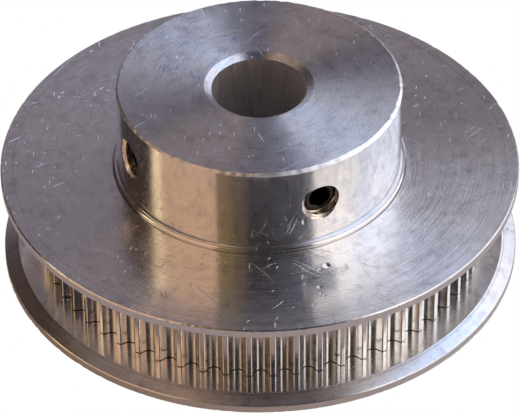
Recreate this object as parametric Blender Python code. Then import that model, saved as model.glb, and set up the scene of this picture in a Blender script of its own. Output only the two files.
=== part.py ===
"""A timing belt pulley on a clamped hub, with two pressed-on flanges and two set screws.

The pulley stands on its outer flange. +Z runs up the shaft's axis towards the hub's end, the front
set screw comes out along -Y and the side set screw along -X. Lengths are in metres.
"""

import math

import bmesh
import bpy
from mathutils import Vector

MM = 0.001

# Belt teeth: round grooves at a 2 mm pitch.
TOOTH_COUNT = 60
TOOTH_PITCH = 2.0 * MM
PITCH_LINE_OFFSET = 0.254 * MM  # the belt bends along a circle this far outside the tips
GROOVE_DEPTH = 0.75 * MM
GROOVE_BOTTOM_RADIUS = 0.555 * MM
GROOVE_MOUTH = 1.49 * MM  # between the two points where the tip roundings end
TIP_ROUNDING = 0.15 * MM
TOOTH_PHASE = math.radians(1.5)  # angle from +X to the middle of a land
FACE_WIDTH = 6.6 * MM  # between the flanges

# Flanges: two equal discs.
FLANGE_RADIUS = 22.0 * MM
FLANGE_THICKNESS = 1.2 * MM
FLANGE_RIM = 0.77 * MM  # thickness at the rim, where the inner face is bevelled back
FLANGE_BEVEL_START = 20.8 * MM  # radius where that bevel begins
FLANGE_EDGE_BREAK = 0.08 * MM
FLANGE_HOLE_CHAMFER = 0.15 * MM

# Hub and bore.
SPIGOT_RADIUS = 12.4 * MM  # the flanges are pressed on this
SPIGOT_STEP = 0.3 * MM  # the spigot stands this far out of the hub-side flange
HUB_RADIUS = 12.0 * MM
HUB_LENGTH = 8.0 * MM  # from the hub-side flange to the hub's end
HUB_CHAMFER = 0.33 * MM
HUB_CHAMFER_DEPTH = 0.22 * MM
BORE_RADIUS = 4.0 * MM
BORE_CHAMFER = 0.6 * MM
BORE_CHAMFER_DEPTH = 0.35 * MM

# Set screws: 4 mm thread, 6 mm long, hexagon socket, cup point.
SCREW_RADIUS = 1.6 * MM  # inside the threads, so that the screw slides free in its hole
SCREW_HOLE_RADIUS = 1.65 * MM  # the tapping drill's
SCREW_LENGTH = 6.0 * MM
SCREW_RECESS = 0.6 * MM  # below the hub's wall
SCREW_ABOVE_FLANGE = 4.3 * MM
SCREW_END_CHAMFER = 0.25 * MM
SCREW_POINT_RADIUS = 0.95 * MM
SCREW_POINT_TAPER = 0.6 * MM
SCREW_CUP_RADIUS = 0.7 * MM
SCREW_CUP_DEPTH = 0.35 * MM
SOCKET_ACROSS_FLATS = 2.0 * MM
SOCKET_DEPTH = 2.4 * MM

FIT_GAP = 0.05 * MM  # between pieces that are pressed together
SWEEP_PAST = 2.0 * MM  # a cutter runs this far past the piece it cuts

ROUND_SIDES = 72
SCREW_SIDES = 24
BOTTOM_ARC_SIDES = 4
SMOOTH_ANGLE = math.radians(30)

TIP_RADIUS = TOOTH_COUNT * TOOTH_PITCH / (2 * math.pi) - PITCH_LINE_OFFSET
TEETH_LOW = FLANGE_THICKNESS + FIT_GAP
TEETH_HIGH = FLANGE_THICKNESS + FACE_WIDTH - FIT_GAP
HUB_BASE = 2 * FLANGE_THICKNESS + FACE_WIDTH
HUB_END = HUB_BASE + HUB_LENGTH
SCREW_HEIGHT = HUB_BASE + SCREW_ABOVE_FLANGE
SCREW_OUTER_END = HUB_RADIUS - SCREW_RECESS
SCREW_POINT = SCREW_OUTER_END - SCREW_LENGTH


def clear_scene():
    for obj in list(bpy.data.objects):
        bpy.data.objects.remove(obj, do_unlink=True)


def make_material(name, colour, roughness, metallic):
    material = bpy.data.materials.new(name)
    material.use_nodes = True
    shader = material.node_tree.nodes["Principled BSDF"]
    shader.inputs["Base Color"].default_value = (*colour, 1.0)
    shader.inputs["Roughness"].default_value = roughness
    shader.inputs["Metallic"].default_value = metallic
    material.diffuse_color = (*colour, 1.0)
    return material


def add_object(name, bm, material=None):
    """Turns a bmesh into an object with outward faces and smooth round sides."""
    bmesh.ops.recalc_face_normals(bm, faces=bm.faces)
    mesh = bpy.data.meshes.new(name)
    bm.to_mesh(mesh)
    bm.free()
    mesh.shade_smooth()
    mesh.set_sharp_from_angle(angle=SMOOTH_ANGLE)
    if material:
        mesh.materials.append(material)
    obj = bpy.data.objects.new(name, mesh)
    bpy.context.scene.collection.objects.link(obj)
    return obj


def turned(profile, sides, closed):
    """A bmesh turned about Z from (radius, height) points; an open profile ends on the axis."""
    bm = bmesh.new()
    points = [bm.verts.new((radius, 0.0, height)) for radius, height in profile]
    pairs = list(zip(points, points[1:]))
    if closed:
        pairs.append((points[-1], points[0]))
    edges = [bm.edges.new(pair) for pair in pairs]
    bmesh.ops.spin(
        bm, geom=points + edges, cent=(0, 0, 0), axis=(0, 0, 1), angle=math.tau, steps=sides, use_merge=True
    )
    bmesh.ops.remove_doubles(bm, verts=bm.verts, dist=MM * 1e-4)
    return bm


def prism(outline, low, high):
    """A bmesh of a flat outline raised from one height to another."""
    bm = bmesh.new()
    face = bm.faces.new([bm.verts.new((x, y, low)) for x, y in outline])
    raised = bmesh.ops.extrude_face_region(bm, geom=[face])
    corners = [item for item in raised["geom"] if isinstance(item, bmesh.types.BMVert)]
    bmesh.ops.translate(bm, verts=corners, vec=(0, 0, high - low))
    return bm


def as_cutter(obj):
    obj.hide_render = True
    obj.display_type = "WIRE"
    return obj


def add_boolean(obj, other, operation):
    modifier = obj.modifiers.new(other.name, "BOOLEAN")
    modifier.object = other
    modifier.operation = operation
    modifier.solver = "EXACT"


def arc(centre, radius, start, end, sides):
    """Points along an arc, both ends included; angles are in radians from +X."""
    angles = [start + (end - start) * step / sides for step in range(sides + 1)]
    return [(centre[0] + radius * math.cos(a), centre[1] + radius * math.sin(a)) for a in angles]


def groove_half():
    """Half a groove, from its bottom to the land, as (sideways, outwards) points.

    A round bottom and a rounded tip, joined by the straight flank that touches both.
    """
    bottom = (0.0, TIP_RADIUS - GROOVE_DEPTH + GROOVE_BOTTOM_RADIUS)
    tip = (GROOVE_MOUTH / 2, TIP_RADIUS - TIP_ROUNDING)
    between = Vector(tip) - Vector(bottom)
    lean = math.atan2(between.y, between.x)
    opening = math.acos((GROOVE_BOTTOM_RADIUS + TIP_ROUNDING) / between.length)
    touch = lean - opening
    lower = arc(bottom, GROOVE_BOTTOM_RADIUS, -math.pi / 2, touch, BOTTOM_ARC_SIDES // 2)
    upper = arc(tip, TIP_ROUNDING, touch + math.pi, math.pi / 2, 1)
    return lower + upper


def tooth_outline():
    """The rim's outline, groove after groove, counterclockwise."""
    half = groove_half()
    groove = [(-x, y) for x, y in reversed(half)][:-1] + half
    step = math.tau / TOOTH_COUNT
    outline = []
    for tooth in range(TOOTH_COUNT):
        middle = TOOTH_PHASE + (tooth + 0.5) * step
        for sideways, outwards in groove:
            radius = math.hypot(sideways, outwards)
            angle = middle + math.atan2(sideways, outwards)
            outline.append((radius * math.cos(angle), radius * math.sin(angle)))
    return outline


def bore_cutter():
    low, high = -SWEEP_PAST, HUB_END + SWEEP_PAST
    slope = BORE_CHAMFER / BORE_CHAMFER_DEPTH
    wide = BORE_RADIUS + slope * (BORE_CHAMFER_DEPTH + SWEEP_PAST)
    profile = [
        (0.0, low),
        (wide, low),
        (BORE_RADIUS, BORE_CHAMFER_DEPTH),
        (BORE_RADIUS, HUB_END - BORE_CHAMFER_DEPTH),
        (wide, high),
        (0.0, high),
    ]
    return as_cutter(add_object("bore_cutter", turned(profile, ROUND_SIDES, closed=False)))


def point_along(obj, direction):
    """Turns an object's own Z to a direction."""
    obj.rotation_mode = "QUATERNION"
    obj.rotation_quaternion = Vector(direction).to_track_quat("Z", "Y")


def screw_hole_cutter(name, direction):
    """A drill from inside the bore out past the hub's wall."""
    inner, outer = 0.0, HUB_RADIUS + SWEEP_PAST
    radius = SCREW_HOLE_RADIUS
    profile = [(0.0, inner), (radius, inner), (radius, outer), (0.0, outer)]
    cutter = as_cutter(add_object(name, turned(profile, SCREW_SIDES, closed=False)))
    cutter.location = (0.0, 0.0, SCREW_HEIGHT)
    point_along(cutter, direction)
    return cutter


def make_pulley_body(material, screw_directions):
    """The toothed rim and the hub, turned and cut from one bar, with a spigot for each flange."""
    profile = [
        (0.0, 0.0),
        (SPIGOT_RADIUS, 0.0),
        (SPIGOT_RADIUS, HUB_BASE + SPIGOT_STEP),
        (HUB_RADIUS, HUB_BASE + SPIGOT_STEP),
        (HUB_RADIUS, HUB_END - HUB_CHAMFER_DEPTH),
        (HUB_RADIUS - HUB_CHAMFER, HUB_END),
        (0.0, HUB_END),
    ]
    body = add_object("pulley_body", turned(profile, ROUND_SIDES, closed=False), material)
    teeth = as_cutter(add_object("toothed_rim", prism(tooth_outline(), TEETH_LOW, TEETH_HIGH)))
    add_boolean(body, teeth, "UNION")
    add_boolean(body, bore_cutter(), "DIFFERENCE")
    for name, direction in screw_directions.items():
        add_boolean(body, screw_hole_cutter(name + "_hole", direction), "DIFFERENCE")
    return body


def make_flange(name, material, outer_height, inwards):
    """A disc with a bevelled inner face. inwards is +1 or -1, the way from its outer face to the teeth."""
    hole = SPIGOT_RADIUS + FIT_GAP
    profile = [
        (hole + FLANGE_HOLE_CHAMFER, 0.0),
        (FLANGE_RADIUS - FLANGE_EDGE_BREAK, 0.0),
        (FLANGE_RADIUS, FLANGE_EDGE_BREAK),
        (FLANGE_RADIUS, FLANGE_RIM),
        (FLANGE_BEVEL_START, FLANGE_THICKNESS),
        (hole, FLANGE_THICKNESS),
        (hole, FLANGE_HOLE_CHAMFER),
    ]
    placed = [(radius, outer_height + inwards * height) for radius, height in profile]
    return add_object(name, turned(placed, ROUND_SIDES, closed=True), material)


def socket_cutter(name):
    """A hexagonal prism that runs into the screw's outer end."""
    corner = SOCKET_ACROSS_FLATS / math.sqrt(3)
    outline = [(corner * math.cos(a), corner * math.sin(a)) for a in (math.tau * n / 6 for n in range(6))]
    low, high = SCREW_OUTER_END - SOCKET_DEPTH, SCREW_OUTER_END + SWEEP_PAST
    return as_cutter(add_object(name, prism(outline, low, high)))


def make_set_screw(name, material, direction):
    """A headless screw. Its origin is on its axis, at the pulley's centre line."""
    profile = [
        (0.0, SCREW_POINT + SCREW_CUP_DEPTH),
        (SCREW_CUP_RADIUS, SCREW_POINT),
        (SCREW_POINT_RADIUS, SCREW_POINT),
        (SCREW_RADIUS, SCREW_POINT + SCREW_POINT_TAPER),
        (SCREW_RADIUS, SCREW_OUTER_END - SCREW_END_CHAMFER),
        (SCREW_RADIUS - SCREW_END_CHAMFER, SCREW_OUTER_END),
        (0.0, SCREW_OUTER_END),
    ]
    screw = add_object(name, turned(profile, SCREW_SIDES, closed=False), material)
    socket = socket_cutter(name + "_socket")
    for piece in (screw, socket):
        piece.location = (0.0, 0.0, SCREW_HEIGHT)
        point_along(piece, direction)
    add_boolean(screw, socket, "DIFFERENCE")
    return screw


def main():
    clear_scene()
    turned_aluminium = make_material("turned_aluminium", (0.72, 0.71, 0.69), 0.28, 1.0)
    flange_aluminium = make_material("flange_aluminium", (0.68, 0.68, 0.69), 0.25, 1.0)
    black_steel = make_material("black_steel", (0.05, 0.05, 0.055), 0.4, 1.0)
    screw_directions = {"front_set_screw": (0, -1, 0), "side_set_screw": (-1, 0, 0)}
    make_pulley_body(turned_aluminium, screw_directions)
    make_flange("outer_flange", flange_aluminium, 0.0, 1)
    make_flange("hub_side_flange", flange_aluminium, HUB_BASE, -1)
    for name, direction in screw_directions.items():
        make_set_screw(name, black_steel, direction)


main()
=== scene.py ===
"""Looks of the timing belt pulley: bright turned aluminium on a white table in a daylit room.

Every piece is turned about the shaft's axis, +Z. Lengths are in metres and angles in radians,
unless a name says otherwise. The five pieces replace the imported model's plain solids.
"""

import math
import random

import bmesh
import bpy
from mathutils import Matrix, Quaternion, Vector


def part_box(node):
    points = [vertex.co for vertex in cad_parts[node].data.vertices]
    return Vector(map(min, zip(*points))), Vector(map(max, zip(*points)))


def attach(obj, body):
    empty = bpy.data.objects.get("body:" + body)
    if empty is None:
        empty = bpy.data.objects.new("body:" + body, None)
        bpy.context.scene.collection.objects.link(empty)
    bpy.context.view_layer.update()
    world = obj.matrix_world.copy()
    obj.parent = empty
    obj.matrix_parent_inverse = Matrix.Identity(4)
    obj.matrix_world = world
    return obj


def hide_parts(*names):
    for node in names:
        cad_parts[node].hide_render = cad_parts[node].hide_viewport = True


MM = 0.001
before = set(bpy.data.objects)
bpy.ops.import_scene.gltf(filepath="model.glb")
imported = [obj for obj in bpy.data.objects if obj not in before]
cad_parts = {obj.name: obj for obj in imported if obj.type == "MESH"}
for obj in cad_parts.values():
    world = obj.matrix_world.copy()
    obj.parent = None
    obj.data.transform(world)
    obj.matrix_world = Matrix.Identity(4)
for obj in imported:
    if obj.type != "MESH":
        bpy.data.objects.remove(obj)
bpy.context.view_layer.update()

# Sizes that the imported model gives.
FLANGE_LOW, FLANGE_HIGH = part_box("outer_flange")
BODY_LOW, BODY_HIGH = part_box("pulley_body")
FLANGE_RADIUS = FLANGE_HIGH.x
FLANGE_THICKNESS = FLANGE_HIGH.z - FLANGE_LOW.z
HUB_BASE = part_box("hub_side_flange")[1].z
HUB_END = BODY_HIGH.z
SCREW_LOW, SCREW_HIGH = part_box("front_set_screw")
SCREW_HEIGHT = (SCREW_LOW.z + SCREW_HIGH.z) / 2
SCREW_POINT, SCREW_OUTER_END = -SCREW_HIGH.y, -SCREW_LOW.y

# Belt teeth: round grooves at a 2 mm pitch.
TOOTH_COUNT = 60
TOOTH_PITCH = 2.0 * MM
PITCH_LINE_OFFSET = 0.254 * MM
TIP_RADIUS = TOOTH_COUNT * TOOTH_PITCH / math.tau - PITCH_LINE_OFFSET
GROOVE_DEPTH = 0.82 * MM
GROOVE_BOTTOM_RADIUS = 0.62 * MM
FLANK_SLOPE = math.radians(65)
TIP_ROUNDING = 0.12 * MM
TOOTH_PHASE = math.radians(1.5)
TOOTH_SEAM = 0.07 * MM  # the dark line between the teeth and each flange
SPIGOT_SEAM = 0.03 * MM  # the line between a spigot and its flange

# Turned shapes.
FLANGE_RIM = 0.77 * MM
FLANGE_RIM_HOLD = 0.25 * MM  # the rim stays straight at least this far from its broken edge
FLANGE_HOLE_BREAK = 0.1 * MM
FLANGE_BEVEL_START = 20.8 * MM
FLANGE_FACE_RING = 20.95 * MM  # inside this the outer face lies a little deeper
FLANGE_FACE_DISH = 0.015 * MM
FLANGE_EDGE_BREAK = 0.09 * MM
FLANGE_INNER_BREAK = 0.06 * MM
SPIGOT_RADIUS = 12.4 * MM
SPIGOT_STEP = 0.3 * MM
SPIGOT_BREAK = 0.08 * MM
UNDERCUT_WIDTH, UNDERCUT_DEPTH = 0.12 * MM, 0.06 * MM
HUB_RADIUS = 12.0 * MM
HUB_CHAMFER = 0.33 * MM
HUB_CHAMFER_DEPTH = 0.22 * MM
CHAMFER_WIDEST = math.radians(-80)
CHAMFER_RAGGED = 0.022
WORN_REACH = 0.65 * MM  # wear at the hub's edge stays within this of its corner
BORE_RADIUS = 4.0 * MM
BORE_CHAMFER = 0.6 * MM
BORE_CHAMFER_DEPTH = 0.35 * MM

# Threads of the set screws and their holes.
THREAD_PITCH = 0.7 * MM
HOLE_MINOR, HOLE_MAJOR = 1.52 * MM, 1.86 * MM
SCREW_MINOR, SCREW_MAJOR = 1.43 * MM, 1.77 * MM
SCREW_END_RADIUS = 1.25 * MM
SCREW_END_CHAMFER = 0.4 * MM
SCREW_TIP_RADIUS = 0.95 * MM
SCREW_TIP_TAPER = 0.62 * MM
SCREW_CUP_RADIUS, SCREW_CUP_DEPTH = 0.72 * MM, 0.38 * MM
SOCKET_ACROSS_FLATS = 1.8 * MM
SOCKET_ROUNDING = 0.35 * MM
SOCKET_DEPTH = 2.4 * MM
SOCKET_LEAD = 0.08 * MM  # how far the socket's countersink reaches past its flats
COUNTERSINK_OVERRUN = 0.4 * MM

ROUND_SIDES = 360
WORN_SIDES = 720  # fine enough for the nicks in an edge
SCREW_SIDES = 64
EDGE_ROUNDING = 0.03 * MM
EDGE_HOLD = 0.02 * MM
OVERRUN = 2.0 * MM
SMOOTH_ANGLE = math.radians(28)

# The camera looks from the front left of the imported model, down on the hub.
VIEW_AZIMUTH = math.radians(-25.5)
VIEW_ELEVATION = math.radians(38.94)
VIEW_DISTANCE = 323.1 * MM
VIEW_DROP = 4.02 * MM  # how far under the hub-side flange's face the view is centred
VIEW_ROLL = math.radians(0.42)
LENS_MM = 263.4
FLOOR_RADIUS = 250 * MM


# ---------------------------------------------------------------- meshes


def object_from(name, bm):
    bmesh.ops.recalc_face_normals(bm, faces=bm.faces)
    mesh = bpy.data.meshes.new(name)
    bm.to_mesh(mesh)
    bm.free()
    obj = bpy.data.objects.new(name, mesh)
    bpy.context.scene.collection.objects.link(obj)
    return obj


def rounded(points, radius=EDGE_ROUNDING, steps=3, closed=False):
    """The same outline with its inner corners rounded; a point with a third value keeps its corner.

    A point is added a little past each end of a corner, so that smooth shading bends only there.
    """
    count = len(points)
    made = []
    for index, point in enumerate(points):
        corner = Vector(point[:2])
        if not closed and index in (0, count - 1):
            made.append(tuple(corner))
            continue
        before = Vector(points[index - 1][:2]) - corner
        after = Vector(points[(index + 1) % count][:2]) - corner
        if len(point) > 2:
            reach = 0.0
            bend = [corner]
        else:
            turn = before.angle(after)
            reach = min(radius / math.tan(turn / 2), 0.4 * before.length, 0.4 * after.length)
            start, end = corner + before.normalized() * reach, corner + after.normalized() * reach
            shares = [step / steps for step in range(steps + 1)]
            bend = [start.lerp(corner, share).lerp(corner.lerp(end, share), share) for share in shares]
        held = reach + EDGE_HOLD
        first = corner + before.normalized() * min(held, 0.49 * before.length)
        last = corner + after.normalized() * min(held, 0.49 * after.length)
        made += [tuple(place) for place in (first, *bend, last)]
    return made


def turned(profile, sides=ROUND_SIDES, closed=False, nicks=()):
    """A bmesh turned about Z from (radius, height) points; an open one ends on the axis."""
    bm = bmesh.new()
    rings = []
    for radius, height in profile:
        if radius < 1e-9:
            rings.append([bm.verts.new((0.0, 0.0, height))])
            continue
        ring = []
        for side in range(sides):
            angle = math.tau * side / sides
            out, up = radius, height
            for nick in nicks:
                sink = nick(angle, radius, height)
                out, up = out - sink[0], up - sink[1]
            ring.append(bm.verts.new((out * math.cos(angle), out * math.sin(angle), up)))
        rings.append(ring)
    pairs = list(zip(rings, rings[1:]))
    if closed:
        pairs.append((rings[-1], rings[0]))
    for first, second in pairs:
        for side in range(sides):
            following = (side + 1) % sides
            corners = [first[side % len(first)], first[following % len(first)]]
            corners += [second[following % len(second)], second[side % len(second)]]
            distinct = list(dict.fromkeys(corners))
            if len(distinct) > 2:
                bm.faces.new(distinct)
    return bm


def prism(outline, low, high):
    bm = bmesh.new()
    bottom = [bm.verts.new((x, y, low)) for x, y in outline]
    top = [bm.verts.new((x, y, high)) for x, y in outline]
    count = len(outline)
    bm.faces.new(bottom)
    bm.faces.new(top)
    for index in range(count):
        following = (index + 1) % count
        bm.faces.new((bottom[index], bottom[following], top[following], top[index]))
    return bm


def arc(centre, radius, start, end, steps):
    angles = [start + (end - start) * step / steps for step in range(steps + 1)]
    return [(centre[0] + radius * math.cos(a), centre[1] + radius * math.sin(a)) for a in angles]


def tooth_outline():
    """Groove after groove: a round bottom, straight flanks and rounded tips with a land between."""
    bottom = Vector((0.0, TIP_RADIUS - GROOVE_DEPTH + GROOVE_BOTTOM_RADIUS))
    rise, run = math.sin(FLANK_SLOPE), math.cos(FLANK_SLOPE)
    touch = bottom + GROOVE_BOTTOM_RADIUS * Vector((rise, -run))
    tip = Vector((0.0, TIP_RADIUS - TIP_ROUNDING))
    for _step in range(6):
        tip.x = touch.x + (TIP_ROUNDING + (tip.y - touch.y) * run) / rise
        tip.y = math.sqrt((TIP_RADIUS - TIP_ROUNDING) ** 2 - tip.x**2)
    lean = math.atan2(tip.x, tip.y)
    half = arc(bottom, GROOVE_BOTTOM_RADIUS, -math.pi / 2, FLANK_SLOPE - math.pi / 2, 8)
    half += arc(tip, TIP_ROUNDING, FLANK_SLOPE + math.pi / 2, math.pi / 2 - lean, 4)
    groove = [(-x, y) for x, y in reversed(half)][:-1] + half
    step = math.tau / TOOTH_COUNT
    land_half = step / 2 - lean
    outline = []
    for tooth in range(TOOTH_COUNT):
        middle = TOOTH_PHASE + (tooth + 0.5) * step
        for sideways, outwards in groove:
            angle = middle + math.atan2(sideways, outwards)
            radius = math.hypot(sideways, outwards)
            outline.append((radius * math.cos(angle), radius * math.sin(angle)))
        land = middle + step / 2
        for angle in (land - 0.85 * land_half, land + 0.85 * land_half):
            outline.append((TIP_RADIUS * math.cos(angle), TIP_RADIUS * math.sin(angle)))
    return outline


def threaded_rod(low, high, minor, major, ends=None, sides=48, rows_per_turn=12):
    """A closed rod along Z whose surface is a thread.

    ends gives the largest radius at a height; without it the rod is as wide at its ends.
    """
    bm = bmesh.new()
    rows = round((high - low) / THREAD_PITCH * rows_per_turn)
    rings = []
    for row in range(rows + 1):
        height = low + (high - low) * row / rows
        ring = []
        for side in range(sides):
            angle = math.tau * side / sides
            share = (height / THREAD_PITCH - angle / math.tau) % 1.0
            ridge = min(1.0, max(0.0, 1.5 - abs(share - 0.5) * 4))
            radius = minor + (major - minor) * ridge
            if ends:
                radius = min(radius, ends(height))
            ring.append(bm.verts.new((radius * math.cos(angle), radius * math.sin(angle), height)))
        rings.append(ring)
    bm.faces.new(rings[0])
    bm.faces.new(rings[-1])
    for first, second in zip(rings, rings[1:]):
        for side in range(sides):
            following = (side + 1) % sides
            bm.faces.new((first[side], first[following], second[following], second[side]))
    return bm


def cut(obj, bm, operation="DIFFERENCE", matrix=None):
    """Joins or cuts a closed shape with the object's mesh, for good."""
    tool = object_from(obj.name + "_tool", bm)
    if matrix:
        tool.data.transform(matrix)
    modifier = obj.modifiers.new("cut", "BOOLEAN")
    modifier.object = tool
    modifier.operation = operation
    modifier.solver = "EXACT"
    graph = bpy.context.evaluated_depsgraph_get()
    made = bpy.data.meshes.new_from_object(obj.evaluated_get(graph))
    obj.modifiers.clear()
    old, obj.data = obj.data, made
    bpy.data.meshes.remove(old)
    bpy.data.objects.remove(tool)


def finish_mesh(obj, body, materials, pick):
    """Smooth shading, a material for each face by where it is, and the ride on its CAD body."""
    mesh = obj.data
    mesh.materials.clear()
    for material in materials:
        mesh.materials.append(material)
    for polygon in mesh.polygons:
        polygon.material_index = pick(polygon.center, polygon.normal)
    mesh.shade_smooth()
    mesh.set_sharp_from_angle(angle=SMOOTH_ANGLE)
    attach(obj, body)
    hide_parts(obj.name.removesuffix("_fine"))


def edge_nicks(seed, count, radius, height, reach, depth, down=1):
    """Small dents along one turned edge, as a function of where a point is.

    down is 1 to sink the edge downwards, and -1 upwards.
    """
    draw = random.Random(seed)
    dents = [
        (draw.uniform(0, math.tau), draw.uniform(0.1, 0.3) * MM, draw.uniform(0.2, 1.0) ** 3)
        for _ in range(count)
    ]

    def sink(angle, at_radius, at_height):
        near = max(0.0, 1 - math.hypot(at_radius - radius, at_height - height) / reach)
        if not near:
            return 0.0, 0.0
        total = 0.0
        for middle, width, share in dents:
            away = abs((angle - middle + math.pi) % math.tau - math.pi) * radius
            if away < width:
                total = max(total, share * (1 - away / width))
        return total * near * depth * 0.35, total * near * depth * down

    return sink


def uneven_chamfer(seed):
    """The hub's chamfer drawn in towards its corner by an uneven amount, as when filed by hand."""
    draw = random.Random(seed)
    waves = [(draw.randint(6, 90), draw.uniform(0, math.tau)) for _ in range(16)]

    def sink(angle, at_radius, at_height):
        from_wall, from_top = HUB_RADIUS - at_radius, HUB_END - at_height
        if from_wall > 1.5 * HUB_CHAMFER or from_top > 1.5 * HUB_CHAMFER_DEPTH:
            return 0.0, 0.0
        ragged = sum(math.sin(count * angle + start) for count, start in waves)
        widest = max(0.0, math.cos(angle - CHAMFER_WIDEST)) ** 3
        keep = 0.6 + 0.45 * widest + CHAMFER_RAGGED * ragged
        shrink = 1 - min(1.25, max(0.35, keep))
        return -from_wall * shrink, -from_top * shrink

    return sink


def screw_matrix(direction):
    turn = Vector(direction).to_track_quat("Z", "Y").to_matrix().to_4x4()
    return Matrix.Translation((0, 0, SCREW_HEIGHT)) @ turn


# ---------------------------------------------------------------- node helpers


class Nodes:
    """Short calls that add nodes to one tree and link them."""

    def __init__(self, tree):
        self.tree = tree
        tree.nodes.clear()

    def add(self, kind, inputs=None, **settings):
        node = self.tree.nodes.new(kind)
        for name, value in settings.items():
            setattr(node, name, value)
        for name, value in (inputs or {}).items():
            self.put(node.inputs[name], value)
        return node

    def put(self, socket, value):
        if isinstance(value, bpy.types.NodeSocket):
            self.tree.links.new(value, socket)
        else:
            socket.default_value = value

    def math(self, operation, *values, clamp=False):
        node = self.add("ShaderNodeMath", operation=operation, use_clamp=clamp)
        for socket, value in zip(node.inputs, values):
            self.put(socket, value)
        return node.outputs[0]

    def ramp(self, value, low, high, out_low=0.0, out_high=1.0):
        """A smooth step of value from low to high."""
        node = self.add("ShaderNodeMapRange", interpolation_type="SMOOTHSTEP")
        names = ("Value", "From Min", "From Max", "To Min", "To Max")
        for name, number in zip(names, (value, low, high, out_low, out_high)):
            self.put(node.inputs[name], number)
        return node.outputs["Result"]

    def mix(self, share, first, second, blend="MIX"):
        node = self.add("ShaderNodeMix", data_type="RGBA", blend_type=blend)
        for socket, value in ((0, share), (6, first), (7, second)):
            if isinstance(value, tuple):
                value = (*value, 1.0)[:4]
            self.put(node.inputs[socket], value)
        return node.outputs[2]

    def noise(self, vector, scale, detail=2.0, roughness=0.5, dimensions="3D"):
        inputs = {"Vector": vector, "Scale": scale, "Detail": detail, "Roughness": roughness}
        return self.add("ShaderNodeTexNoise", inputs, noise_dimensions=dimensions).outputs["Fac"]

    def combine(self, x, y, z):
        return self.add("ShaderNodeCombineXYZ", {"X": x, "Y": y, "Z": z}).outputs[0]

    def between(self, value, low, high, soft):
        """1 between low and high, falling to 0 over soft on each side."""
        up = self.ramp(value, low - soft, low + soft)
        down = self.ramp(value, high - soft, high + soft, 1.0, 0.0)
        return self.math("MULTIPLY", up, down)


# ---------------------------------------------------------------- materials

BRIGHT = (0.86, 0.855, 0.85)  # bare aluminium
OXIDISED = (0.765, 0.785, 0.83)  # aluminium gone a little dull and blue
DULL = (0.76, 0.735, 0.73)  # the drilled bore, which was never polished
TAPPED = (0.82, 0.73, 0.65)  # the tapped threads: brownish, and a little darker than bare aluminium
BLACK_OXIDE = (0.055, 0.048, 0.045)  # the set screws
INK = (0.26, 0.32, 0.74)  # smears of marking-out blue

WORN_SLOPE = 0.0048  # how much more worn a face is, per millimetre towards its worn side

# Scratches on the faces: direction in degrees, length and width of a cell in millimetres, share kept.
FACE_SCRATCHES = (
    (8, 4.0, 0.11, 0.010),
    (41, 0.9, 0.13, 0.020),
    (69, 2.2, 0.10, 0.011),
    (97, 0.7, 0.15, 0.016),
    (124, 1.2, 0.12, 0.016),
    (158, 5.0, 0.10, 0.008),
)
# Dents in the hub-side flange: x, y, reach and depth in millimetres.
FLANGE_DENTS = ((-1.1, -14.9, 0.36, 0.07), (-2.8, -17.1, 0.3, 0.03))
# Ink on the hub's end face: x, y and reach in millimetres.
INK_STAINS = ((-5.6, 5.4, 1.4), (-4.3, 3.2, 1.1), (0.5, 6.9, 1.0))


class Turned:
    """Places on a piece turned about Z, as sockets in millimetres and radians."""

    def __init__(self, nodes):
        self.nodes = nodes
        where = nodes.add("ShaderNodeTexCoord").outputs["Object"]
        split = nodes.add("ShaderNodeSeparateXYZ", {"Vector": where})
        self.x, self.y, self.z = (
            nodes.math("MULTIPLY", split.outputs[axis], 1 / MM) for axis in "XYZ"
        )
        squares = [(nodes.math("POWER", side, 2), 1.0) for side in (self.x, self.y)]
        self.radius = nodes.math("SQRT", total(nodes, *squares))
        self.angle = nodes.math("ARCTAN2", self.y, self.x)
        self.level_x = nodes.math("DIVIDE", self.x, self.radius)
        self.level_y = nodes.math("DIVIDE", self.y, self.radius)

    def rings(self, across, per_mm, seed, round_it=3.0, detail=2.0):
        """Noise that changes fast across the turning marks and slowly round them, with no seam."""
        nodes = self.nodes
        place = nodes.combine(
            nodes.math("MULTIPLY", self.level_x, round_it),
            nodes.math("MULTIPLY", self.level_y, round_it),
            nodes.math("MULTIPLY_ADD", across, per_mm, seed),
        )
        return nodes.noise(place, 1.0, detail, 0.6)

    def flat(self, seed):
        return self.nodes.combine(self.x, self.y, seed)

    def solid(self):
        return self.nodes.combine(self.x, self.y, self.z)

    def near(self, x, y, core, reach):
        """1 within core of a place on the face, falling to 0 at reach."""
        nodes = self.nodes
        ends = {0: self.flat(0.0), 1: (x, y, 0.0)}
        away = nodes.add("ShaderNodeVectorMath", ends, operation="DISTANCE")
        return nodes.ramp(away.outputs["Value"], core, reach, 1.0, 0.0)

    def turned_by(self, degrees):
        """The level axes turned by an angle, as two sockets."""
        angle = math.radians(degrees)
        along = total(self.nodes, (self.x, math.cos(angle)), (self.y, math.sin(angle)))
        across = total(self.nodes, (self.y, math.cos(angle)), (self.x, -math.sin(angle)))
        return along, across


def marks(nodes, along, across, length, width, keep, seed):
    """Thin marks strewn at random: 1 in the middle of a mark, 0 between them. keep is their share."""
    wander = nodes.noise(nodes.combine(along, across, seed), 0.25, 0.0)
    bent = nodes.math("MULTIPLY_ADD", wander, 1.6, across)
    place = nodes.combine(
        nodes.math("MULTIPLY_ADD", along, 1 / length, seed * 7.3),
        nodes.math("MULTIPLY_ADD", bent, 1 / width, seed * 3.1),
        0.0,
    )
    cells = nodes.add("ShaderNodeTexVoronoi", {"Vector": place, "Scale": 1.0}, voronoi_dimensions="2D")
    lot = nodes.add("ShaderNodeSeparateColor", {"Color": cells.outputs["Color"]}).outputs[0]
    kept = nodes.ramp(lot, 1 - keep, 1 - keep + 0.01)
    shape = nodes.ramp(cells.outputs["Distance"], 0.05, 0.45, 1.0, 0.0)
    return nodes.math("MULTIPLY", kept, shape)


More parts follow.
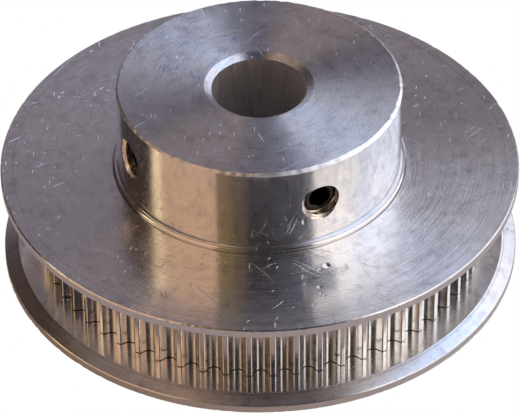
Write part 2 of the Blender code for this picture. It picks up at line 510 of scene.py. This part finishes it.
def metal_material(name, colour, roughness, anisotropic, along_grooves):
    """A new material with a metal shader, and its nodes. along_grooves is the tangent's turn."""
    material = bpy.data.materials.new(name)
    material.use_nodes = True
    nodes = Nodes(material.node_tree)
    tangent = nodes.add("ShaderNodeTangent", direction_type="RADIAL", axis="Z").outputs[0]
    shader = nodes.add(
        "ShaderNodeBsdfPrincipled",
        {
            "Base Color": (*colour, 1.0),
            "Metallic": 1.0,
            "Roughness": roughness,
            "Anisotropic": anisotropic,
            "Anisotropic Rotation": along_grooves,
            "Tangent": tangent,
        },
    )
    output = nodes.add("ShaderNodeOutputMaterial")
    nodes.put(output.inputs["Surface"], shader.outputs[0])
    return material, nodes, shader


def set_colour(nodes, shader, colour, tone):
    """A base colour made lighter or darker by a tone, which is 1 for no change."""
    grey = nodes.combine(tone, tone, tone)
    nodes.put(shader.inputs["Base Color"], nodes.mix(1.0, colour, grey, "MULTIPLY"))


def set_relief(nodes, shader, height):
    """Bump from a height in millimetres."""
    bump = nodes.add("ShaderNodeBump", {"Strength": 1.0, "Distance": MM, "Height": height})
    nodes.put(shader.inputs["Normal"], bump.outputs[0])


def total(nodes, *terms):
    """The sum of socket-times-number pairs."""
    result = 0.0
    for socket, share in terms:
        result = nodes.math("MULTIPLY_ADD", socket, share, result)
    return result


def face_material(
    name, metal, seed, smooth, rough, worn_share, worn_side, cloudy, scratches=(), stains=(), dents=()
):
    """A face turned on a lathe: fine rings, cloudy patches, scratches, pits and specks of dirt.

    It is more worn on one side, and worn_side is that side's direction in degrees.
    """
    material, nodes, shader = metal_material(name, metal, smooth, 1.0, 0.25)
    at = Turned(nodes)
    rings = at.rings(at.radius, 9.0, seed)
    wide_rings = at.rings(at.radius, 2.3, seed + 5, 1.5)
    cloud = nodes.noise(at.flat(seed), 0.5, 5.0, 0.62)
    stain = nodes.noise(at.flat(seed + 6), 0.9, 6.0, 0.7)
    grain = nodes.noise(at.flat(seed + 2), 13.0, 2.0, 0.6)
    scratch = 0.0
    for degrees, length, width, keep in scratches:
        layer = marks(nodes, *at.turned_by(degrees + 17 * seed), length, width, keep, seed + degrees)
        scratch = nodes.math("MAXIMUM", scratch, layer)
    round_it = nodes.math("MULTIPLY", at.angle, HUB_RADIUS / MM)
    arcs = marks(nodes, round_it, at.radius, 5.0, 0.16, 0.04, seed)
    pits = marks(nodes, at.x, at.y, 0.34, 0.22, 0.012, seed + 3)
    specks = marks(nodes, at.x, at.y, 0.30, 0.26, 0.004, seed + 4)
    # Metal that is still smooth mirrors; the worn share of it, in fine grains, spreads the light.
    middle = 0.5 * (1 + 0.25 + cloudy)
    wear = total(nodes, (grain, 1.0), (rings, 0.25), (cloud, cloudy))
    side = math.radians(worn_side)
    sideways = total(nodes, (at.x, math.cos(side)), (at.y, math.sin(side)))
    wear = nodes.math("MULTIPLY_ADD", sideways, WORN_SLOPE, wear)
    edge = middle + 0.36 * (0.5 - worn_share)
    worn = nodes.ramp(wear, edge - 0.05, edge + 0.05)
    roughness = nodes.math("MULTIPLY_ADD", worn, rough - smooth, smooth)
    roughness = total(nodes, (roughness, 1.0), (scratch, 0.2), (arcs, 0.1))
    nodes.put(shader.inputs["Roughness"], roughness)
    dull = nodes.ramp(stain, 0.45, 0.75)
    ring_start = FLANGE_FACE_RING / MM
    turned_ring = nodes.between(at.radius, ring_start, ring_start + 0.05, 0.08)
    dark = total(nodes, (worn, 0.05), (wide_rings, 0.06), (specks, 0.4), (dull, 0.28))
    dark = total(nodes, (dark, 1.0), (turned_ring, 0.35))
    tone = nodes.math("SUBTRACT", 1.0, dark)
    colour = nodes.mix(1.0, metal, nodes.combine(tone, tone, tone), "MULTIPLY")
    for x, y, reach in stains:
        near = at.near(x, y, 0.2 * reach, reach)
        blot = nodes.ramp(nodes.noise(at.flat(x), 2.8, 5.0, 0.7), 0.48, 0.64)
        colour = nodes.mix(nodes.math("MULTIPLY", near, blot), colour, INK)
    nodes.put(shader.inputs["Base Color"], colour)
    height = total(nodes, (rings, 0.0003), (grain, 0.0002), (cloud, 0.00015))
    height = total(nodes, (height, 1.0), (scratch, -0.02), (arcs, -0.003), (pits, -0.03))
    for x, y, reach, depth in dents:
        height = nodes.math("MULTIPLY_ADD", at.near(x, y, 0.0, reach), -depth, height)
    set_relief(nodes, shader, nodes.math("MULTIPLY_ADD", turned_ring, -0.004, height))
    return material


def wall_material(name, seed, smooth, rough, anisotropic):
    """A round wall turned on a lathe: rings that run level round it, smears and a few scratches."""
    material, nodes, shader = metal_material(name, BRIGHT, smooth, anisotropic, 0.25)
    at = Turned(nodes)
    rings = at.rings(at.z, 9.0, seed)
    stretched = nodes.combine(at.x, at.y, nodes.math("MULTIPLY", at.z, 0.35))
    smear = nodes.noise(stretched, 1.1, 4.0, 0.65)
    round_it = nodes.math("MULTIPLY", at.angle, HUB_RADIUS / MM)
    level = marks(nodes, round_it, at.z, 3.5, 0.12, 0.05, seed)
    slope = nodes.math("MULTIPLY_ADD", round_it, 0.7, at.z)
    slanted = marks(nodes, slope, at.z, 1.6, 0.14, 0.002, seed + 1)
    specks = marks(nodes, round_it, at.z, 0.3, 0.2, 0.006, seed + 2)
    patch = nodes.ramp(smear, 0.42, 0.66)
    worn = nodes.ramp(rings, 0.46, 0.62)
    uneven = total(nodes, (worn, 0.5), (patch, 0.5))
    roughness = nodes.math("MULTIPLY_ADD", uneven, rough - smooth, smooth)
    roughness = total(nodes, (roughness, 1.0), (level, 0.1), (slanted, 0.2))
    nodes.put(shader.inputs["Roughness"], roughness)
    dark = total(nodes, (patch, 0.05), (specks, 0.45), (level, 0.12))
    set_colour(nodes, shader, BRIGHT, nodes.math("SUBTRACT", 1.0, dark))
    height = total(nodes, (rings, 0.0003), (level, -0.001), (slanted, -0.004), (specks, -0.003))
    set_relief(nodes, shader, height)
    return material


def lengthways_material(name, colour, seed, smooth, rough, lines_per_radian, depth, streaks):
    """Marks that run along the shaft, as a cutter or a drill leaves in grooves and in the bore."""
    material, nodes, shader = metal_material(name, colour, smooth, 0.5, 0.0)
    at = Turned(nodes)
    place = nodes.combine(
        nodes.math("MULTIPLY", at.level_x, lines_per_radian),
        nodes.math("MULTIPLY", at.level_y, lines_per_radian),
        nodes.math("MULTIPLY_ADD", at.z, 0.35, seed),
    )
    lines = nodes.noise(place, 1.0, 3.0, 0.6)
    steps = at.rings(at.z, 6.0, seed, 6.0)
    mottle = nodes.noise(at.solid(), 1.6, 4.0, 0.65)
    uneven = nodes.ramp(total(nodes, (lines, 0.6), (mottle, 0.4)), 0.42, 0.6)
    roughness = nodes.math("MULTIPLY_ADD", uneven, rough - smooth, smooth)
    nodes.put(shader.inputs["Roughness"], roughness)
    dark = nodes.math("MULTIPLY", nodes.ramp(lines, 0.5, 0.7), streaks)
    set_colour(nodes, shader, colour, nodes.math("SUBTRACT", 1.0, dark))
    set_relief(nodes, shader, total(nodes, (lines, depth), (steps, 0.0015)))
    return material


def black_steel_material():
    material, nodes, shader = metal_material("black_steel", BLACK_OXIDE, 0.38, 0.0, 0.0)
    at = Turned(nodes)
    mottle = nodes.noise(at.solid(), 2.5, 4.0, 0.6)
    nodes.put(shader.inputs["Roughness"], nodes.math("MULTIPLY_ADD", mottle, 0.25, 0.25))
    set_colour(nodes, shader, BLACK_OXIDE, nodes.ramp(mottle, 0.35, 0.7, 0.8, 1.3))
    set_relief(nodes, shader, nodes.math("MULTIPLY", mottle, 0.004))
    return material


# ---------------------------------------------------------------- pieces

# Places in the lists of materials that the flanges and the body take.
FLANGE_FACE, FLANGE_EDGE, FLANGE_INSIDE, FLANGE_BEVEL = range(4)
HUB_FACE, HUB_WALL, TOOTHED_RIM, BORE_WALL, SCREW_HOLE, HUB_EDGE, OUTER_FACE = range(7)


def make_flange(name, outer_height, inwards, materials):
    hole = SPIGOT_RADIUS + SPIGOT_SEAM
    profile = [
        (hole + FLANGE_HOLE_BREAK, FLANGE_FACE_DISH),
        (FLANGE_FACE_RING, FLANGE_FACE_DISH, "sharp"),
        (FLANGE_RADIUS - WORN_REACH, FLANGE_FACE_DISH / 2, "sharp"),
        (FLANGE_RADIUS - FLANGE_EDGE_BREAK, 0.0),
        (FLANGE_RADIUS, FLANGE_EDGE_BREAK),
        (FLANGE_RADIUS, FLANGE_EDGE_BREAK + FLANGE_RIM_HOLD, "sharp"),
        (FLANGE_RADIUS, FLANGE_RIM - FLANGE_INNER_BREAK),
        (FLANGE_RADIUS - FLANGE_INNER_BREAK, FLANGE_RIM),
        (FLANGE_BEVEL_START, FLANGE_THICKNESS),
        (hole, FLANGE_THICKNESS),
        (hole, FLANGE_HOLE_BREAK + FLANGE_FACE_DISH),
    ]
    placed = [(p[0], outer_height + inwards * p[1], *p[2:]) for p in profile]
    edge = outer_height + inwards * FLANGE_EDGE_BREAK
    wear = [
        edge_nicks(name, 170, FLANGE_RADIUS, edge, reach=0.2 * MM, depth=0.12 * MM, down=-inwards)
    ]
    outline = rounded(placed, closed=True)
    obj = object_from(name + "_fine", turned(outline, WORN_SIDES, closed=True, nicks=wear))

    def pick(centre, normal):
        inner = normal.z * inwards
        if abs(inner) < 0.3:
            return FLANGE_EDGE
        if inner < -0.95:
            return FLANGE_FACE
        return FLANGE_INSIDE if inner > 0.99 else FLANGE_BEVEL

    finish_mesh(obj, "pulley", materials, pick)
    return obj


def make_body(materials):
    chamfer_inner = HUB_RADIUS - HUB_CHAMFER
    chamfer_foot = HUB_END - HUB_CHAMFER_DEPTH
    profile = [
        (0.0, BODY_LOW.z),
        (SPIGOT_RADIUS, BODY_LOW.z),
        (SPIGOT_RADIUS, HUB_BASE + SPIGOT_STEP - SPIGOT_BREAK),
        (SPIGOT_RADIUS - SPIGOT_BREAK, HUB_BASE + SPIGOT_STEP),
        (HUB_RADIUS + UNDERCUT_WIDTH, HUB_BASE + SPIGOT_STEP),
        (HUB_RADIUS, HUB_BASE + SPIGOT_STEP - UNDERCUT_DEPTH),
        (HUB_RADIUS, HUB_END - WORN_REACH, "sharp"),
        (HUB_RADIUS, chamfer_foot),
        (chamfer_inner, HUB_END),
        (HUB_RADIUS - WORN_REACH, HUB_END, "sharp"),
        (0.0, HUB_END),
    ]
    wear = [
        uneven_chamfer("chamfer"),
        edge_nicks("hub", 44, chamfer_inner, HUB_END, reach=0.22 * MM, depth=0.09 * MM),
        edge_nicks("wall", 9, HUB_RADIUS, chamfer_foot, reach=0.12 * MM, depth=0.03 * MM),
    ]
    obj = object_from("pulley_body_fine", turned(rounded(profile), WORN_SIDES, nicks=wear))
    low, high = FLANGE_THICKNESS + TOOTH_SEAM, HUB_BASE - FLANGE_THICKNESS - TOOTH_SEAM
    cut(obj, prism(tooth_outline(), low, high), "UNION")
    slope = BORE_CHAMFER / BORE_CHAMFER_DEPTH
    wide = BORE_RADIUS + slope * (BORE_CHAMFER_DEPTH + OVERRUN)
    bore = [
        (0.0, BODY_LOW.z - OVERRUN),
        (wide, BODY_LOW.z - OVERRUN),
        (BORE_RADIUS, BODY_LOW.z + BORE_CHAMFER_DEPTH),
        (BORE_RADIUS, HUB_END - BORE_CHAMFER_DEPTH),
        (wide, HUB_END + OVERRUN),
        (0.0, HUB_END + OVERRUN),
    ]
    cut(obj, turned(rounded(bore)))
    for direction in ((0, -1, 0), (-1, 0, 0)):
        rod = threaded_rod(BORE_RADIUS / 2, HUB_RADIUS + OVERRUN, HOLE_MINOR, HOLE_MAJOR)
        cut(obj, rod, matrix=screw_matrix(direction))

    def pick(centre, normal):
        radius = math.hypot(centre.x, centre.y)
        upright = abs(normal.z) < 0.5
        if upright and radius > SPIGOT_RADIUS + TOOTH_SEAM:
            return TOOTHED_RIM
        if upright and radius < BORE_RADIUS + TOOTH_SEAM:
            return BORE_WALL
        if radius < HUB_RADIUS - EDGE_ROUNDING and abs(centre.z - SCREW_HEIGHT) < HOLE_MAJOR:
            return SCREW_HOLE
        if normal.z < -0.95:
            return OUTER_FACE
        sloping = 0.3 < abs(normal.z) < 0.95
        if sloping and radius < BORE_RADIUS + BORE_CHAMFER:
            return HUB_FACE if normal.z > 0 else OUTER_FACE
        if sloping and centre.z > HUB_END - WORN_REACH:
            return HUB_EDGE
        return HUB_FACE if normal.z > 0.95 else HUB_WALL

    finish_mesh(obj, "pulley", materials, pick)
    return obj


def make_set_screw(name, body, direction, materials):
    def ends(height):
        outer = SCREW_OUTER_END - height
        inner = height - SCREW_POINT
        at_end = SCREW_END_RADIUS + outer / SCREW_END_CHAMFER * (SCREW_MAJOR - SCREW_END_RADIUS)
        at_tip = SCREW_TIP_RADIUS + inner / SCREW_TIP_TAPER * (SCREW_MAJOR - SCREW_TIP_RADIUS)
        return min(at_end, at_tip)

    rod = threaded_rod(
        SCREW_POINT, SCREW_OUTER_END, SCREW_MINOR, SCREW_MAJOR, ends, sides=SCREW_SIDES
    )
    obj = object_from(name + "_fine", rod)
    corner = SOCKET_ACROSS_FLATS / math.sqrt(3)
    turns = [math.tau * (side + 0.5) / 6 for side in range(6)]
    hexagon = [(corner * math.cos(turn), corner * math.sin(turn)) for turn in turns]
    socket = rounded(hexagon, SOCKET_ROUNDING, closed=True)
    cut(obj, prism(socket, SCREW_OUTER_END - SOCKET_DEPTH, SCREW_OUTER_END + OVERRUN))
    wide = SOCKET_ACROSS_FLATS / 2 + SOCKET_LEAD
    countersink = [
        (0.0, SCREW_OUTER_END - wide),
        (wide + COUNTERSINK_OVERRUN, SCREW_OUTER_END + COUNTERSINK_OVERRUN),
        (0.0, SCREW_OUTER_END + COUNTERSINK_OVERRUN),
    ]
    cut(obj, turned(countersink, SCREW_SIDES))
    cup = [
        (0.0, SCREW_POINT - OVERRUN),
        (SCREW_CUP_RADIUS * (1 + OVERRUN / SCREW_CUP_DEPTH), SCREW_POINT - OVERRUN),
        (0.0, SCREW_POINT + SCREW_CUP_DEPTH),
    ]
    cut(obj, turned(cup, SCREW_SIDES))
    obj.data.transform(screw_matrix(direction))
    finish_mesh(obj, body, materials, lambda centre, normal: 0)
    return obj


# ---------------------------------------------------------------- room


def facing():
    """Unit vectors: the level way from the pulley to the camera, and to the camera's right."""
    towards = Vector((math.sin(VIEW_AZIMUTH), -math.cos(VIEW_AZIMUTH), 0.0))
    right = Vector((math.cos(VIEW_AZIMUTH), math.sin(VIEW_AZIMUTH), 0.0))
    return towards, right


# Soft panels round the pulley, each over the ones before it. The columns are azimuths, 0 in front
# and 90 to the right, elevations, how soft the edges are, all in degrees, and the light's colour.
ROOM = (
    ("ceiling_behind", (120, 215), (60, 95), 9.0, (0.2, 0.19, 0.24)),
    ("ceiling_behind_left", (-215, -120), (60, 95), 9.0, (0.2, 0.19, 0.24)),
    ("pale_wall_behind", (152, 208), (18, 66), 9.0, (0.215, 0.187, 0.217)),
    ("pale_wall_behind_left", (-208, -150), (18, 66), 9.0, (0.215, 0.187, 0.217)),
    ("low_wall_behind", (152, 208), (2, 34), 6.0, (0.30, 0.275, 0.33)),
    ("low_wall_behind_left", (-208, -150), (2, 34), 6.0, (0.30, 0.275, 0.33)),
    ("wood_wall", (-90, -35), (-20, 78), 1.0, (0.77, 0.48, 0.315)),
    ("lit_door_edge", (-98, -87), (-20, 50), 1.5, (1.32, 1.0, 0.6)),
    ("dark_hall", (-150, -98), (-20, 58), 4.0, (0.05, 0.03, 0.023)),
    ("olive_curtain", (-35, -21), (-20, 78), 1.0, (0.21, 0.145, 0.062)),
    ("curtain_fold", (-22, -11), (-20, 78), 3.0, (0.125, 0.087, 0.05)),
    ("dark_panel", (-11, 40), (-20, 95), 3.0, (0.034, 0.03, 0.034)),
    ("dark_panel_fold", (14, 20), (-20, 70), 2.0, (0.046, 0.05, 0.066)),
    ("window", (45, 128), (5, 70), 4.0, (1.2, 1.11, 1.1)),
    ("window_frame", (86, 102), (5, 70), 4.0, (0.93, 0.88, 0.9)),
    ("window_side", (126, 156), (8, 47), 4.0, (1.3, 1.32, 1.5)),
    ("window_low", (45, 128), (8, 44), 4.0, (1.55, 1.43, 1.4)),
    ("window_pane", (45, 80), (8, 44), 5.0, (1.85, 1.66, 1.52)),
    ("window_bar", (88, 101), (8, 44), 4.0, (1.3, 1.17, 1.1)),
    ("window_sky", (98, 158), (44, 76), 6.0, (1.2, 1.52, 2.25)),
)
ROOM_BASE = (0.097, 0.086, 0.098)


def make_world():
    world = bpy.data.worlds.new("room")
    bpy.context.scene.world = world
    world.use_nodes = True
    nodes = Nodes(world.node_tree)
    ray = nodes.add("ShaderNodeTexCoord").outputs["Generated"]
    split = nodes.add("ShaderNodeSeparateXYZ", {"Vector": ray})
    towards, right = facing()
    x, y, z = (split.outputs[axis] for axis in "XYZ")
    ahead = total(nodes, (x, towards.x), (y, towards.y))
    aside = total(nodes, (x, right.x), (y, right.y))
    azimuth = nodes.math("DEGREES", nodes.math("ARCTAN2", aside, ahead))
    elevation = nodes.math("DEGREES", nodes.math("ARCSINE", z))
    colour = nodes.mix(0.0, ROOM_BASE, ROOM_BASE)
    for _name, azimuths, elevations, soft, light in ROOM:
        sideways = nodes.between(azimuth, *azimuths, soft)
        upwards = nodes.between(elevation, *elevations, soft)
        colour = nodes.mix(nodes.math("MULTIPLY", sideways, upwards), colour, light)
    seen = nodes.add("ShaderNodeLightPath").outputs["Is Camera Ray"]
    colour = nodes.mix(seen, colour, (1.0, 1.0, 1.0))
    background = nodes.add("ShaderNodeBackground", {"Color": colour, "Strength": 1.0})
    output = nodes.add("ShaderNodeOutputWorld")
    nodes.put(output.inputs["Surface"], background.outputs[0])


def make_floor():
    """A pale floor, burnt out to white where the camera sees it."""
    bm = bmesh.new()
    bmesh.ops.create_circle(bm, cap_ends=True, segments=96, radius=FLOOR_RADIUS)
    bmesh.ops.translate(bm, verts=bm.verts, vec=(0, 0, -0.02 * MM))
    floor = object_from("floor", bm)
    material = bpy.data.materials.new("pale_floor")
    material.use_nodes = True
    nodes = Nodes(material.node_tree)
    diffuse = nodes.add("ShaderNodeBsdfDiffuse", {"Color": (0.64, 0.58, 0.57, 1.0)})
    white = nodes.add("ShaderNodeEmission", {"Color": (1.0, 1.0, 1.0, 1.0), "Strength": 1.0})
    seen = nodes.add("ShaderNodeLightPath").outputs["Is Camera Ray"]
    mix = nodes.add("ShaderNodeMixShader", {0: seen, 1: diffuse.outputs[0], 2: white.outputs[0]})
    output = nodes.add("ShaderNodeOutputMaterial")
    nodes.put(output.inputs["Surface"], mix.outputs[0])
    floor.data.materials.append(material)


def make_camera():
    towards = facing()[0]
    level, rise = math.cos(VIEW_ELEVATION), math.sin(VIEW_ELEVATION)
    back = towards * level + Vector((0, 0, rise))
    up = Vector((0, 0, level)) - towards * rise
    data = bpy.data.cameras.new("camera")
    data.lens = LENS_MM
    data.sensor_width = 36.0
    data.clip_start, data.clip_end = 0.01, 10.0
    camera = bpy.data.objects.new("camera", data)
    bpy.context.scene.collection.objects.link(camera)
    centre = Vector((0, 0, HUB_BASE))
    camera.location = centre + back * VIEW_DISTANCE
    aim = centre - up * VIEW_DROP - camera.location
    camera.rotation_mode = "QUATERNION"
    camera.rotation_quaternion = aim.to_track_quat("-Z", "Y") @ Quaternion((0, 0, 1), -VIEW_ROLL)
    bpy.context.scene.camera = camera


# ---------------------------------------------------------------- the scene

make_camera()
make_world()
make_floor()
bpy.context.scene.view_settings.view_transform = "Standard"

# Each row: name, colour, seed, roughness where smooth and where worn, share that is worn, direction
# of the worn side in degrees, cloudiness.
hub_faces = face_material(
    "hub_faces", OXIDISED, 1.0, 0.20, 0.50, 0.50, -35, 0.28, FACE_SCRATCHES, stains=INK_STAINS
)
flange_faces = face_material(
    "flange_faces", BRIGHT, 7.0, 0.13, 0.46, 0.30, -70, 0.18, FACE_SCRATCHES, dents=FLANGE_DENTS
)
insides = face_material("flange_insides", BRIGHT, 9.0, 0.09, 0.26, 0.12, -65, 0.2)
bevels = face_material("flange_bevels", BRIGHT, 11.0, 0.17, 0.32, 0.2, -65, 0.2)
edges = wall_material("turned_edges", 10.0, 0.32, 0.54, 0.3)
walls = wall_material("turned_walls", 3.0, 0.05, 0.10, 0.8)
rims = wall_material("flange_rims", 4.0, 0.50, 0.68, 0.0)
teeth = lengthways_material("cut_teeth", BRIGHT, 5.0, 0.13, 0.26, 110.0, 0.0004, 0.12)
bore = lengthways_material("drilled_bore", DULL, 6.0, 0.55, 0.85, 26.0, 0.004, 0.34)
tapped = lengthways_material("tapped_thread", TAPPED, 8.0, 0.22, 0.36, 20.0, 0.001, 0.15)
black_steel = black_steel_material()

# The lists are in the order of the names HUB_FACE to OUTER_FACE and FLANGE_FACE to FLANGE_BEVEL.
make_body([hub_faces, walls, teeth, bore, tapped, edges, flange_faces])
flange_materials = [flange_faces, rims, insides, bevels]
make_flange("outer_flange", 0.0, 1, flange_materials)
make_flange("hub_side_flange", HUB_BASE, -1, flange_materials)
make_set_screw("front_set_screw", "front_screw", (0, -1, 0), [black_steel])
make_set_screw("side_set_screw", "side_screw", (-1, 0, 0), [black_steel])
